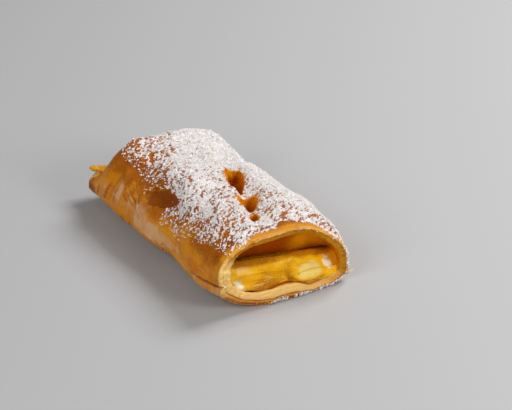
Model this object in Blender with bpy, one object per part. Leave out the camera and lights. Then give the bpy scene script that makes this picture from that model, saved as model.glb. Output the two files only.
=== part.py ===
"""A custard-filled puff pastry: one folded crust, open at both ends and torn open on top, and its filling.

Sizes are in millimetres and are turned into metres when a mesh is built. X runs across the pastry and
Z up from the table. Y runs along it, counted from the left corner of the mouth while the shapes are
worked out; the finished pastry is then moved so that it stands with its middle over the origin.
Every section across the pastry is a rounded loop. Its angle theta starts at the right side (+X) and
passes the top at 90 degrees, the left side at 180 and the underside at 270.
"""

import bpy
import bmesh
import numpy as np

MM = 0.001

# Driving dimensions of the crust.
LENGTH = 122.0
LEFT_HALF = 34.5
RIGHT_HALF = 33.0
CROWN = 34.0
SIDE_SHEET = 3.0
RIM_SHEET = 2.4
BOTTOM_SHEET = 2.6

# The valley along the seam: its depth, and its reach to the left and to the right.
SEAM_DEPTH = 5.0
SEAM_REACH = (3.6, 8.5)

# The hollow: where it is widest, how much higher its left corner is at the mouth and at the far end, and
# how much thicker the left wall is at the far end.
HOLLOW_WAIST = 9.0
MOUTH_CORNER_LIFT = 9.0
FAR_CORNER_LIFT = 6.5
FAR_CORNER_WALL = 2.0

# The filling: the room that it keeps to the crust, how far the left corner of its far end comes out,
# how much it swells upwards and sideways there, and how much less the rest of that end comes out. Its
# sections are rounded rectangles.
CLEARANCE = 0.8
TONGUE = 2.5
TONGUE_SWELL = 1.6
TONGUE_SPREAD = 3.0
TONGUE_SLANT = 14.0
FILLING_SQUARENESS = 3.4

# Profiles along the pastry, each a list of (y, value).
# Crown over or under CROWN, and sides in or out of LEFT_HALF and RIGHT_HALF.
CROWN_LINE = [
    (-6, -5.0), (0, -3.8), (5, -2.6), (12, -0.4), (22, 0.6), (36, 0), (58, -0.6), (74, -1.8), (82, -2.0),
    (96, -0.8), (106, -0.8), (109, -4.0), (112, -11.0), (116, -16.5), (124, -19.0),
]
LEFT_SIDE = [
    (-6, -0.8), (8, -0.4), (25, -0.2), (45, -1.4), (58, 0.4), (74, 2.4), (96, 1.6), (112, 0.8), (124, -0.4),
]
RIGHT_SIDE = [
    (-6, -2.0), (0, -1.0), (8, 0.8), (16, 1.2), (28, 0.2), (48, -2.0), (66, -1.0), (80, -2.4), (104, -3.0),
    (112, -4.5), (124, -7.0),
]
# Height at which a section is widest, and how square it is above that: 2 is an ellipse.
LEFT_WAIST = [(-6, 18.5), (4, 18.0), (16, 14.5), (40, 12.5), (84, 11.0), (106, 9.0), (120, 8.0)]
RIGHT_WAIST = [(-6, 8.5), (16, 9.5), (60, 11.0), (106, 10.5), (118, 8.5)]
LEFT_SQUARENESS = [(-6, 2.9), (30, 2.5), (70, 2.3), (100, 3.0), (109, 2.6), (118, 3.8)]
RIGHT_SQUARENESS = [(-6, 2.3), (0, 2.4), (8, 2.6), (16, 2.5), (26, 2.7), (60, 2.5), (118, 2.5)]
UNDER_SQUARENESS = (2.2, 4.0)
HOLLOW_SQUARENESS = {"over": (2.6, 2.5), "under": (2.2, 4.5)}
# The seam on the crown, where the left fold stands over the right one, as x, and the side seam, as z.
SEAM = [(0, -9.5), (8, -8.0), (20, -4.5), (34, 0.8), (57, 8.2), (77, 16.0), (100, 20.0)]
SIDE_SEAM = [(0, 15.5), (10, 12.5), (22, 11.0), (45, 11.5)]
# Top of the custard: a rolled front, a level body and a far end that rises to its tongue.
CUSTARD_LINE = [
    (2, 8.0), (4.5, 11.0), (8, 15.2), (10, 16.0), (13, 14.5), (18, 12.5), (34, 12.5), (84, 13.0),
    (104, 13.0), (114, 14.0), (130, 18.0),
]

# Edges of the crust's two ends and of the custard's front round their loops: (angle in degrees, y),
# and for the far end (angle, distance from LENGTH).
MOUTH_EDGE = [
    (0, -1.6), (30, -2.4), (50, -0.4), (68, 3.4), (90, 4.8), (120, 4.2), (150, 2.0), (180, 0), (215, 0.4),
    (248, -0.6), (268, -1.6), (286, -1.2), (304, -1.0), (330, -0.6), (360, -1.6),
]
FAR_EDGE = [
    (0, 8.0), (45, 8.5), (90, 7.0), (130, 7.0), (150, 6.0), (170, 2.5), (190, 1.0), (230, 1.5), (270, 4.5),
    (315, 6.5), (360, 8.0),
]
CUSTARD_EDGE = [
    (0, 1.8), (45, 4.2), (90, 5.2), (135, 5.4), (180, 4.0), (225, 3.8), (262, 4.4), (285, 1.0), (330, 0.2),
    (360, 1.8),
]

# Swellings and dips of the crown: height, place and reach, the last two as (x, y).
SWELLINGS = [
    (5.0, (-16, 66), (12, 18)),
    (2.0, (-14, 26), (13, 14)),
    (4.2, (-20, 107), (8, 7)),
    (3.0, (-29, 122), (9, 7)),
    (-2.0, (24, 80), (12, 5)),
    (-2.4, (-19, 88), (10, 5)),
]
# Wrinkles down the left side: place, reach and depth.
WRINKLES = [(78.0, 1.6, 0.9), (84.0, 1.6, 1.3), (90.0, 2.0, 1.0), (98.0, 3.0, 1.8)]
# The three tears along the seam: centre, reach across and along, lean, and how pear-shaped each is.
TEARS = [
    {"at": (8.0, 57.5), "reach": (4.8, 12.5), "lean": 0.45, "pear": 0.10},
    {"at": (1.2, 33.8), "reach": (4.6, 6.2), "lean": 0.30, "pear": 0.40},
    {"at": (-4.0, 20.8), "reach": (2.4, 3.8), "lean": 0.60, "pear": 0.0},
]

# Mesh density: sides of a section, and rows along the pastry.
SIDES = 56
OUTER_ROWS = 44
INNER_ROWS = 22
FILLING_SIDES = 40
FILLING_ROWS = 24

CRUST_COLOUR = (0.50, 0.21, 0.035, 1.0)
CUSTARD_COLOUR = (0.82, 0.43, 0.02, 1.0)


def along(value, knots):
    """A smooth curve through (place, height) knots, read at value."""
    places, heights = np.array(knots, float).T
    slopes = np.gradient(heights, places)
    value = np.clip(value, places[0], places[-1])
    i = np.clip(np.searchsorted(places, value, side="right") - 1, 0, len(places) - 2)
    span = places[i + 1] - places[i]
    s = (value - places[i]) / span
    rise = s * s * (3 - 2 * s)
    bend = s * (1 - s) * span * ((1 - s) * slopes[i] - s * slopes[i + 1])
    return heights[i] + (heights[i + 1] - heights[i]) * rise + bend


def step(low, high, value):
    """0 at low, 1 at high, and smooth between."""
    s = np.clip((value - low) / (high - low), 0, 1)
    return s * s * (3 - 2 * s)


def bump(x, y, at, reach):
    """A round swelling of height 1."""
    return np.exp(-(((x - at[0]) / reach[0]) ** 2) - ((y - at[1]) / reach[1]) ** 2)


def lumps(x, y, z):
    """Gentle unevenness of hand-folded dough, between -1 and 1."""
    first = np.sin(0.21 * x + 0.13 * y + 1.7)
    second = np.sin(0.17 * y - 0.19 * z + 0.4)
    third = np.sin(0.31 * x - 0.24 * y + 0.11 * z + 2.9)
    return (first + second + third) / 3


def dome(x, halves, middle, over, under, squareness):
    """Lowest and highest z of a rounded section at x, widest at the height middle."""
    on_left = x < 0
    across = np.clip(np.abs(x) / np.where(on_left, *halves), 0, 1)
    power_over = np.where(on_left, *squareness["over"])
    power_under = np.where(on_left, *squareness["under"])
    low = middle - (middle - under) * (1 - across**power_under) ** (1 / power_under)
    high = middle + (over - middle) * (1 - across**power_over) ** (1 / power_over)
    return low, high


def loop_x(theta, halves, squareness):
    """x round a section, spaced so that its corners get enough points."""
    c = np.cos(theta)
    power_over = np.where(c < 0, *squareness["over"])
    power_under = np.where(c < 0, *squareness["under"])
    power = np.where(np.sin(theta) >= 0, power_over, power_under)
    return np.sign(c) * np.abs(c) ** (2 / power) * np.where(c < 0, *halves)


def outer_halves(y):
    return LEFT_HALF + along(y, LEFT_SIDE), RIGHT_HALF + along(y, RIGHT_SIDE)


def outer_squareness(y):
    return {"over": (along(y, LEFT_SQUARENESS), along(y, RIGHT_SQUARENESS)), "under": UNDER_SQUARENESS}


def roof(x, y):
    """Height of the crown over the table."""
    height = CROWN + along(y, CROWN_LINE)
    for swelling, at, reach in SWELLINGS:
        height = height + swelling * bump(x, y, at, reach)
    aside = x - along(y, SEAM)
    valley = np.exp(-((aside / np.where(aside < 0, *SEAM_REACH)) ** 2))
    return height - SEAM_DEPTH * valley * step(2, 26, y) * (1 - step(76, 92, y))


def underside(x, y):
    """Height of the bottom. It curls up at both ends, and else it is a little under the table, which
    cuts it flat."""
    mouth_curl = 1.0 * step(8, -2, y) * step(-8, -24, x)
    far_curl = 2.5 * step(108, 120, y)
    return mouth_curl + far_curl - 0.7


def outer_heights(x, y):
    halves = outer_halves(y)
    leftness = (1 - x / np.where(x < 0, *halves)) / 2
    waist = along(y, RIGHT_WAIST) + (along(y, LEFT_WAIST) - along(y, RIGHT_WAIST)) * leftness
    return dome(x, halves, waist, roof(x, y), underside(x, y), outer_squareness(y))


def folds(theta, x, y, z):
    """Relief of the crust's outside along its normal: the side seam, the flap under it and wrinkles."""
    turn = np.degrees(theta)
    flap = step(160, 172, turn) * (1 - step(236, 250, turn)) * (1 - step(36, 50, y))
    over_seam = z - along(y, SIDE_SEAM)
    swollen = 1.3 * np.exp(-(((over_seam + 4.0) / 2.4) ** 2))
    groove = 1.7 * np.exp(-((over_seam / 1.2) ** 2))
    relief = flap * (swollen - groove)
    on_left_wall = step(4, 9, z) * step(29, 21, z) * (x < 0)
    for place, reach, depth in WRINKLES:
        slanted = place - 0.2 * (z - 14)
        relief = relief - depth * np.exp(-(((y - slanted) / reach) ** 2)) * on_left_wall
    relief = relief - 1.6 * bump(x, y, (-26, 66), (6, 7)) * (z > 12)
    return relief + 0.35 * lumps(x, y, z) * step(0.3, 4, z)


def outer_section(theta, y):
    x = loop_x(theta, outer_halves(y), outer_squareness(y))
    low, high = outer_heights(x, y)
    return x, np.where(np.sin(theta) >= 0, high, low)


def outside(theta, y):
    """Points of the crust's outside. Its lowest stretch is flat, where it stands on the table."""
    nudge = 0.01
    x, z = outer_section(theta, y)
    x_next, z_next = outer_section(theta + nudge, y)
    normal_x, normal_z = z_next - z, x - x_next
    relief = folds(theta, x, y, z) / (np.hypot(normal_x, normal_z) + 1e-9)
    return np.stack([x + relief * normal_x, y, np.maximum(z + relief * normal_z, 0)], axis=-1)


def custard_top(x, y):
    """Height of the custard. Its rolled front is higher on the left."""
    slope = np.where(x < 0, 0.19, 0.13) * (1 - step(14, 36, y))
    return along(y, CUSTARD_LINE) - slope * x + 1.0 * bump(x, y, (15, 7), (8, 4))


def floor_height(x, y):
    """Top of the crust's bottom: a lip of curled layers stands up along the left half of the mouth."""
    lip = (3.6 * step(13, 4, x) + 0.8 * bump(x, y, (-1, 0), (4, 9))) * (1 - step(0, 9, y))
    return BOTTOM_SHEET + lip + 2.2 * step(108, 120, y)


def ceiling(x, y):
    """The inside of the roof: thin at the mouth's rim, where the layers end, and sagging to the custard."""
    at_rim = roof(x, y) - RIM_SHEET
    resting = custard_top(x, y) + CLEARANCE
    sag = step(4, 16, y) * (1 - 0.75 * step(106, 120, y))
    return np.maximum(at_rim + (resting - at_rim) * sag, resting)


def hollow_halves(y):
    left, right = outer_halves(y)
    return left - SIDE_SHEET - FAR_CORNER_WALL * step(104, 118, y), right - RIM_SHEET


def hollow_heights(x, y):
    """Floor and ceiling of the hollow. At both ends its left corner is a point well above the floor."""
    mouth_corner = MOUTH_CORNER_LIFT * step(6, -32, x) * (1 - step(2, 22, y))
    far_corner = FAR_CORNER_LIFT * step(-6, -30, x) * step(104, 120, y)
    waist = HOLLOW_WAIST + mouth_corner + far_corner
    over = np.maximum(ceiling(x, y), waist + 1)
    return dome(x, hollow_halves(y), waist, over, floor_height(x, y), HOLLOW_SQUARENESS)


def inside(theta, y):
    """Points of the crust's inside."""
    x = loop_x(theta, hollow_halves(y), HOLLOW_SQUARENESS)
    low, high = hollow_heights(x, y)
    return np.stack([x, y, np.where(np.sin(theta) >= 0, high, low)], axis=-1)


def filling(theta, y):
    """Points of the custard: it fills the hollow up to its own top and keeps CLEARANCE to the crust."""
    left, right = hollow_halves(y)
    side_gap = 1.25 * CLEARANCE
    mouth_gap = 4.0 * (1 - step(2, 16, y))
    left = left - side_gap - mouth_gap + TONGUE_SPREAD * step(118, 123, y)
    right = right - side_gap
    thinnest = 0.4
    c, s = np.cos(theta), np.sin(theta)
    x = np.sign(c) * np.abs(c) ** (2 / FILLING_SQUARENESS) * np.where(c < 0, left, right)
    low, high = hollow_heights(x, y)
    low = low + CLEARANCE
    high = np.maximum(np.minimum(high - CLEARANCE, custard_top(x, y)), low + thinnest)
    high = high + TONGUE_SWELL * step(118, 123, y)
    share = 0.5 + 0.5 * np.sign(s) * np.abs(s) ** (2 / FILLING_SQUARENESS)
    return np.stack([x, y, low + (high - low) * share], axis=-1)


def mouth_edge(theta):
    return along(np.degrees(theta), MOUTH_EDGE)


def far_edge(theta):
    return LENGTH - along(np.degrees(theta), FAR_EDGE)


def angles(count):
    return np.linspace(0, 2 * np.pi, count, endpoint=False)


def grid(front, back, count, theta):
    """Angles and places for rows along the pastry, with rows closer together near both ends."""
    share = np.linspace(0, 1, count)
    share = share - 0.10 * np.sin(2 * np.pi * share)
    places = front + (back - front) * share[:, None]
    return np.broadcast_to(theta, places.shape), places


def add_loops(mesh, points):
    return [[mesh.verts.new(p * MM) for p in row] for row in points]


def bridge(mesh, first, second):
    """One band of triangles between two closed loops of the same length."""
    for i in range(len(first)):
        j = (i + 1) % len(first)
        mesh.faces.new((first[i], first[j], second[j]))
        mesh.faces.new((first[i], second[j], second[i]))


def new_object(name, mesh):
    bmesh.ops.recalc_face_normals(mesh, faces=mesh.faces)
    data = bpy.data.meshes.new(name)
    mesh.to_mesh(data)
    mesh.free()
    obj = bpy.data.objects.new(name, data)
    bpy.context.scene.collection.objects.link(obj)
    return obj


def give_material(obj, colour, roughness):
    material = bpy.data.materials.new(obj.name)
    material.use_nodes = True
    shader = material.node_tree.nodes["Principled BSDF"]
    shader.inputs["Base Color"].default_value = colour
    shader.inputs["Roughness"].default_value = roughness
    obj.data.materials.append(material)
    obj.data.shade_smooth()
    obj.data.set_sharp_from_angle(angle=np.radians(50))


def split_layers(outer_edge, inner_edge, outward, groove):
    """Loops across a cut edge: a groove between two swollen layers, as baked sheets split."""
    loops = []
    for share, swell in ((0.22, 0.9), (0.42, 0.3), (0.5, -groove), (0.58, 0.3), (0.78, 0.9)):
        loop = outer_edge + (inner_edge - outer_edge) * share
        loop[:, 1] += outward * swell
        loops.append(loop)
    return loops


def make_crust():
    theta = angles(SIDES)
    front, back = mouth_edge(theta), far_edge(theta)
    outer = outside(*grid(front, back, OUTER_ROWS, theta))
    inner = inside(*grid(front, back, INNER_ROWS, theta))
    under = -np.minimum(np.sin(theta), 0)
    mesh = bmesh.new()
    outer_loops, inner_loops = add_loops(mesh, outer), add_loops(mesh, inner)
    front_rim = add_loops(mesh, split_layers(outer[0], inner[0], -1, 0.2 + 2.2 * under))
    back_rim = add_loops(mesh, split_layers(outer[-1], inner[-1], 1, 0.8))
    loops = outer_loops + back_rim + inner_loops[::-1] + front_rim[::-1] + [outer_loops[0]]
    for first, second in zip(loops, loops[1:]):
        bridge(mesh, first, second)
    crust = new_object("crust", mesh)
    give_material(crust, CRUST_COLOUR, 0.5)
    return crust


def make_tear(name, tear, sides=18, low=9.0, high=46.0, flare=0.2):
    """A cutter with the tear's outline, wider at its top."""
    (x_middle, y_middle), (x_reach, y_reach) = tear["at"], tear["reach"]
    mesh = bmesh.new()
    loops = []
    for height, grow in ((low, 1 - flare), (high, 1 + flare)):
        v = np.sin(angles(sides)) * grow
        u = np.cos(angles(sides)) * grow * (1 + tear["pear"] * v)
        x = x_middle + u * x_reach + tear["lean"] * v * y_reach
        y = y_middle + v * y_reach
        loops.append([mesh.verts.new((a * MM, b * MM, height * MM)) for a, b in zip(x, y)])
    bridge(mesh, *loops)
    mesh.faces.new(loops[0])
    mesh.faces.new(loops[1])
    cutter = new_object(name, mesh)
    cutter.hide_render = True
    cutter.display_type = "WIRE"
    return cutter


def cut_tears(crust):
    cutters = [make_tear(f"tear_{number}", tear) for number, tear in enumerate(TEARS)]
    for cutter in cutters:
        cut = crust.modifiers.new(cutter.name, "BOOLEAN")
        cut.operation = "DIFFERENCE"
        cut.object = cutter
    return cutters


def make_custard():
    theta = angles(FILLING_SIDES)
    front = along(np.degrees(theta), CUSTARD_EDGE)
    back = LENGTH + TONGUE - TONGUE_SLANT * step(-0.9, 0.1, np.cos(theta))
    points = filling(*grid(front, back, FILLING_ROWS, theta))
    # Both ends are rounded off by drawing their last rows towards the middle.
    share = np.linspace(0, 1, FILLING_ROWS)[:, None]
    front_share, back_share = 0.5 + share / 0.10, 0.7 + (1 - share) / 0.06
    drawn_in = 1 - np.sqrt(np.clip(np.minimum(front_share, back_share), 0, 1))
    middle = points.mean(axis=1, keepdims=True)
    points[..., 0] += (middle - points)[..., 0] * 0.15 * drawn_in
    towards_middle = (middle - points)[..., 2]
    points[..., 2] += towards_middle * drawn_in * np.where(towards_middle < 0, 1.0, 0.35)
    mesh = bmesh.new()
    loops = add_loops(mesh, points)
    for first, second in zip(loops, loops[1:]):
        bridge(mesh, first, second)
    for loop, row in ((loops[0], points[0]), (loops[-1], points[-1])):
        tip = mesh.verts.new(row.mean(axis=0) * MM)
        for i in range(FILLING_SIDES):
            mesh.faces.new((loop[i], loop[(i + 1) % FILLING_SIDES], tip))
    custard = new_object("custard", mesh)
    give_material(custard, CUSTARD_COLOUR, 0.25)
    return custard


def stand_over_origin(pieces, helpers):
    """Moves all meshes so that the box round the pieces is centred over the origin."""
    points = np.array([v.co for piece in pieces for v in piece.data.vertices])
    middle = (points.min(axis=0) + points.max(axis=0)) / 2
    for obj in pieces + helpers:
        for vertex in obj.data.vertices:
            vertex.co.x -= middle[0]
            vertex.co.y -= middle[1]


def main():
    for obj in list(bpy.data.objects):
        bpy.data.objects.remove(obj)
    crust = make_crust()
    cutters = cut_tears(crust)
    custard = make_custard()
    stand_over_origin([crust, custard], cutters)


main()
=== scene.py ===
"""Looks of a custard-filled puff pastry: a flaky crust torn open along its crown, custard and icing sugar.

Shapes are worked out in millimetres: X runs across the pastry, Y along it from the left corner of its
mouth, and Z up from the table. They are moved into the frame, in metres, when a mesh is built. Every
section across the pastry is a rounded loop whose angle theta starts at the right side (+X) and passes
the top at 90 degrees, the left side at 180 and the underside at 270.
"""

import itertools
import math

import bpy
import numpy as np
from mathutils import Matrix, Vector


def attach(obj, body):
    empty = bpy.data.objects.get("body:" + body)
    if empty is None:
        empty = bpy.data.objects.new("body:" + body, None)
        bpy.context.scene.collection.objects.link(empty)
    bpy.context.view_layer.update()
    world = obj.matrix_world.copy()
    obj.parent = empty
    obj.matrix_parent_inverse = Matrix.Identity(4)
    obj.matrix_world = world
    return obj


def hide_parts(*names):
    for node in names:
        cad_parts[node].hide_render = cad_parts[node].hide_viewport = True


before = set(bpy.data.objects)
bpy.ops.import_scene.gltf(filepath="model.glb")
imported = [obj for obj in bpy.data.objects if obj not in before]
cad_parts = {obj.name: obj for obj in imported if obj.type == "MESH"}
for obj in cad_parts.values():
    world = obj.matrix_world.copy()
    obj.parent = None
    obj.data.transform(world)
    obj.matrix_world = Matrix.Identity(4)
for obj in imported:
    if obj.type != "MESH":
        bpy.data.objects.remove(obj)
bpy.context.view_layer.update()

MM = 0.001
# Where the frame's origin lies in the millimetres of the shapes.
ORIGIN = np.array([-1.30, 60.54, 0.0])

# Driving dimensions of the crust and the filling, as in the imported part.
LENGTH = 122.0
LEFT_HALF = 34.5
RIGHT_HALF = 33.0
CROWN = 34.0
SIDE_SHEET = 3.0
RIM_SHEET = 2.4
BOTTOM_SHEET = 2.6
SEAM_DEPTH = 5.0
SEAM_REACH = (3.6, 8.5)
HOLLOW_WAIST = 9.0
MOUTH_CORNER_LIFT = 9.0
FAR_CORNER_LIFT = 6.5
FAR_CORNER_WALL = 2.0
CLEARANCE = 0.8
TOUCH = 0.1
TONGUE = 2.5
TONGUE_SWELL = 1.6
TONGUE_SPREAD = 3.0
TONGUE_SAG = 2.2
TONGUE_SLANT = 14.0
FILLING_SQUARENESS = 3.4

# Profiles along the pastry, each a list of (y, value).
CROWN_LINE = [
    (-6, -5.0), (0, -3.8), (5, -2.6), (12, -0.4), (22, 0.6), (36, 0), (58, -0.6), (74, -1.8), (82, -2.0),
    (96, -0.8), (106, -0.8), (109, -4.0), (112, -11.0), (116, -16.5), (124, -19.0),
]
LEFT_SIDE = [
    (-6, -0.8), (8, -0.4), (25, -0.2), (45, -1.4), (58, 0.4), (74, 2.4), (96, 1.6), (112, 0.8), (124, -0.4),
]
RIGHT_SIDE = [
    (-6, -2.0), (0, -1.0), (8, 0.8), (16, 1.2), (28, 0.2), (48, -2.0), (66, -1.0), (80, -2.4), (104, -3.0),
    (112, -4.5), (124, -7.0),
]
LEFT_WAIST = [(-6, 18.5), (4, 18.0), (16, 14.5), (40, 12.5), (84, 11.0), (106, 9.0), (120, 8.0)]
RIGHT_WAIST = [(-6, 8.5), (16, 9.5), (60, 11.0), (106, 10.5), (118, 8.5)]
LEFT_SQUARENESS = [(-6, 2.9), (30, 2.5), (70, 2.3), (100, 3.0), (109, 2.6), (118, 3.8)]
RIGHT_SQUARENESS = [(-6, 2.3), (0, 2.4), (8, 2.6), (16, 2.5), (26, 2.7), (60, 2.5), (118, 2.5)]
UNDER_SQUARENESS = (2.2, 4.0)
HOLLOW_SQUARENESS = {"over": (2.6, 2.5), "under": (2.2, 4.5)}
SEAM = [(0, -9.5), (8, -8.0), (20, -4.5), (34, 0.8), (57, 8.2), (77, 16.0), (100, 20.0)]
SIDE_SEAM = [(0, 15.2), (10, 12.6), (22, 11.0), (45, 11.4)]
CUSTARD_LINE = [
    (2, 8.0), (4.5, 11.0), (8, 15.2), (10, 16.0), (13, 14.5), (18, 12.5), (34, 12.5), (84, 13.0),
    (104, 13.0), (114, 14.0), (130, 18.0),
]
# Edges of the two ends and of the custard's front, round their loops.
MOUTH_EDGE = [
    (0, -1.6), (30, -2.4), (50, -0.4), (68, 3.4), (90, 4.8), (120, 4.2), (150, 2.0), (180, 0), (215, 0.4),
    (248, -0.6), (268, -1.6), (286, -1.2), (304, -1.0), (330, -0.6), (360, -1.6),
]
FAR_EDGE = [
    (0, 8.0), (45, 8.5), (90, 7.0), (130, 7.0), (150, 6.0), (170, 2.5), (190, 1.0), (230, 1.5), (270, 4.5),
    (315, 6.5), (360, 8.0),
]
CUSTARD_EDGE = [
    (0, 1.8), (45, 4.2), (90, 5.2), (135, 5.0), (180, 2.2), (225, 1.2), (262, 1.4), (285, 0.2), (330, 0),
    (360, 1.8),
]
# Round swellings and hollows of the crown: height, (x, y) of the middle and reach.
SWELLINGS = [
    (5.0, (-16, 66), (12, 18)),
    (2.0, (-14, 26), (13, 14)),
    (4.2, (-20, 107), (8, 7)),
    (3.0, (-29, 122), (9, 7)),
    (-2.0, (24, 80), (12, 5)),
    (-2.4, (-19, 88), (10, 5)),
]
# Wrinkles down the left side: place, reach and depth.
WRINKLES = [(78.0, 1.6, 0.9), (84.0, 1.6, 1.3), (90.0, 2.0, 1.0), (98.0, 3.0, 1.8)]
# The three tears along the seam: centre, reach across and along, lean, and how pear-shaped each is.
TEARS = [
    {"at": (8.0, 57.5), "reach": (4.8, 12.5), "lean": 0.45, "pear": 0.10},
    {"at": (1.2, 33.8), "reach": (4.6, 6.2), "lean": 0.30, "pear": 0.40},
    {"at": (-4.0, 20.8), "reach": (2.4, 3.8), "lean": 0.60, "pear": 0.0},
]

# Heights over the table above which a place lies on a shoulder of the crust, and on its crown.
SHOULDER_HEIGHT = 12
CROWN_HEIGHT = 20
# The bare patch in the left shoulder, where the sugar slid off: its middle, half sizes and lean.
BARE_PATCH = {"at": (-26.2, 62.5), "halves": (4.0, 10.6), "lean": -0.28}
# Dents under the bare patch and behind the tears: depth, middle, reach and the height they are above.
DENTS = [
    (1.8, (-27.0, 62.0), (5.0, 9.5), SHOULDER_HEIGHT),
    (1.2, (10.5, 76.0), (2.6, 2.2), CROWN_HEIGHT),
]
# Any depth well outside a tear or the bare patch.
FAR_OUTSIDE = -9.0
# Creases in the left side: (y, z) of the middle, how far y moves per z, half length in z, width and depth.
CREASES = [
    ((74.5, 19.8), 1.6, 3.6, 0.50, 1.20),
    ((78.5, 20.0), 1.4, 4.0, 0.55, 0.80),
    ((70.5, 20.0), 1.5, 4.0, 0.45, 0.70),
    ((85.5, 20.5), 0.9, 4.5, 0.60, 0.50),
    ((68.0, 15.5), 1.5, 3.0, 0.50, 0.40),
    ((92.5, 18.0), -0.3, 5.0, 0.60, 0.45),
    ((101.0, 15.0), -0.5, 5.5, 0.80, 0.55),
    ((58.0, 12.5), 1.2, 3.0, 0.60, 0.35),
    ((110.5, 12.0), -0.4, 3.5, 0.70, 0.50),
    ((115.5, 7.0), 4.5, 1.7, 2.20, 0.90),
]
# Pale stretched dough low on the left side: strength, (y, z) of the middle and reach.
PALE_PATCHES = [
    (0.80, (90.0, 19.0), (2.3, 6.5)),
    (0.75, (80.5, 18.0), (2.8, 5.5)),
    (0.95, (71.0, 16.5), (5.0, 6.5)),
    (0.95, (60.0, 14.5), (7.0, 4.8)),
    (0.80, (48.0, 13.6), (7.0, 3.6)),
    (0.55, (38.0, 14.4), (5.0, 2.8)),
    (0.45, (98.0, 9.0), (5.0, 3.0)),
]
# The dusting of icing sugar: its left edge as x along the pastry, its front edge as y across it, over
# how many mm from the left edge it thickens, and how thick it lies along the pastry.
SUGAR_LEFT = [
    (-4, -27), (6, -28.5), (9, -30.5), (16, -29.5), (24, -31.5), (34, -31.5), (45, -32.5), (53, -32),
    (60, -30), (70, -30), (77, -29), (84, -25.5), (91, -25), (99, -25.5), (107, -24), (114, -21),
]
SUGAR_FRONT = [(-34, 4), (-24, 3.0), (-16, 5.2), (-6, 7.6), (13, 7.6), (17.6, 5.2), (21.5, 1.0), (34, -1)]
SUGAR_RAMP = [(-4, 11), (40, 11), (60, 13), (80, 21), (110, 46)]
SUGAR_ALONG = [
    (-4, 0.52), (8, 0.56), (20, 0.60), (45, 0.61), (70, 0.71), (85, 0.79), (104, 0.90), (118, 0.78),
]
# Turns a place into distances across and along the streaks in which the sugar fell, and up.
SUGAR_STREAKS = [(-0.536, 0.320, 0.0), (0.844, 0.204, 0.0), (0.0, 0.0, 0.9)]

# Sheets of dough that lie down the sides: how they are stretched along x, y and z, then their size in mm,
# the seed of their outlines and how many there are.
WALL_STRETCH = (0.30, 0.24, 1.0)
WALL_SHEETS = (3.4, 58, 4)

# Sheets of dough in a cut edge and how far they stand out, where along the bottom the edge is split, as a
# share of the way in, and how far the inside edge of the crown lies behind the outside one.
RIM_SHEETS = 5
SHEET_STEP = 0.30
BOTTOM_SPLIT = 0.44
LIP_SLOPE = 1.5
# How much thicker the crust is round the mouth, along the crown and at either side, and how deep in.
LIP_SWELL = {"crown": 0.8, "right": 1.4, "left": 2.8}
LIP_DEPTH = 7.0
# How much of the cream of the mouth's rim shows in the far rim, which baked browner.
FAR_RIM_CREAM = 0.4

# The crease round the custard's right lobe in the mouth: its middle (x, z) and half sizes.
LOBE = {"at": (13.0, 9.0), "halves": (9.5, 5.4)}
# The lobes, and where painted shade makes the custard a deeper gold: height or strength, (x, z) of the middle
# and reach.
CUSTARD_LOBES = [(2.4, LOBE["at"], (7.5, 3.6)), (1.8, (-12.5, 9.0), (8.0, 3.6))]
PAINTED_SHADE_PLACES = [(1.1, (-11, 8.6), (10.0, 3.6)), (0.8, (-3, 5), (7, 2.6)), (0.30, (21, 4), (6, 2))]

# Mesh density: points round each loop, rows along each surface and across a cut edge, and a tear's walls.
SIDES = 440
OUTER_ROWS = 290
INNER_ROWS = 60
RIM_ROWS = 32
FILLING_SIDES = 260
FILLING_ROWS = 140
CAP_ROWS = 30
TEAR_SIDES = 120
TEAR_ROWS = 34
TEAR_HEIGHTS = (9.0, 46.0)
FLAKE_SIDE = 7
# How far across a cut edge each of its rows lies.
RIM_SHARES = np.arange(1, RIM_ROWS + 1) / (RIM_ROWS + 1)

# Icing sugar: how many fine crystals and clumps lie on the crust, and their half sizes.
FINE_COUNT = 24000
FINE_SIZE = (0.13, 0.27)
CLUMP_COUNT = 8600
CLUMP_SIZE = (0.20, 0.46)
RIM_CLUMP_SIZE = (0.18, 0.48)
OCTAHEDRON = [(1, 0, 0), (-1, 0, 0), (0, 1, 0), (0, -1, 0), (0, 0, 1), (0, 0, -1)]
# Heaps of sugar on the rim of the mouth: (x, z), share across the rim, spread in mm, and count.
RIM_HEAPS = [
    ((-4.0, 0.5), 0.16, 2.2, 110), ((5.4, 0.5), 0.18, 2.4, 130), ((9.5, 0.7), 0.20, 1.8, 70),
    ((18.4, 0.8), 0.20, 2.4, 110), ((27.5, 2.5), 0.20, 2.0, 90), ((33.0, 8.0), 0.14, 3.0, 26),
    ((32.0, 14.0), 0.14, 3.0, 26), ((27.0, 21.0), 0.14, 4.0, 10), ((2.0, 30.0), 0.08, 12.0, 8),
]

# Larger flakes: where each lies, its half size, and the direction in which a long one points.
BIG_FLAKES = [
    ((-35.6, 47.0, 12.4), 1.3, None), ((-35.8, 45.2, 11.6), 1.0, None), ((-35.2, 48.8, 13.2), 0.9, None),
    ((32.6, -2.0, 4.4), 1.8, (1.0, -0.30, 0.30)), ((31.2, -1.4, 3.2), 1.1, None),
    ((22.0, -1.6, 1.4), 1.0, None),
]
# Crumbs on the mouth's rim: (x, z), spread in mm and count. Flakes along the left foot, at this angle and
# in these rows of the crust's outside, and on the crown, each at an angle and in a row.
RIM_FLAKES = [((-9, 0.5), 4, 16), ((4, 0.5), 4, 18), ((20, 1), 5, 18), ((33, 6), 3, 8)]
FOOT_ANGLE = 214
FOOT_FLAKES = (92, 96, 99, 103, 108, 60, 150, 190, 236)
CROWN_FLAKES = [(98, 170), (84, 205), (120, 196), (70, 120), (112, 60), (100, 232), (88, 262), (95, 90)]
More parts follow.
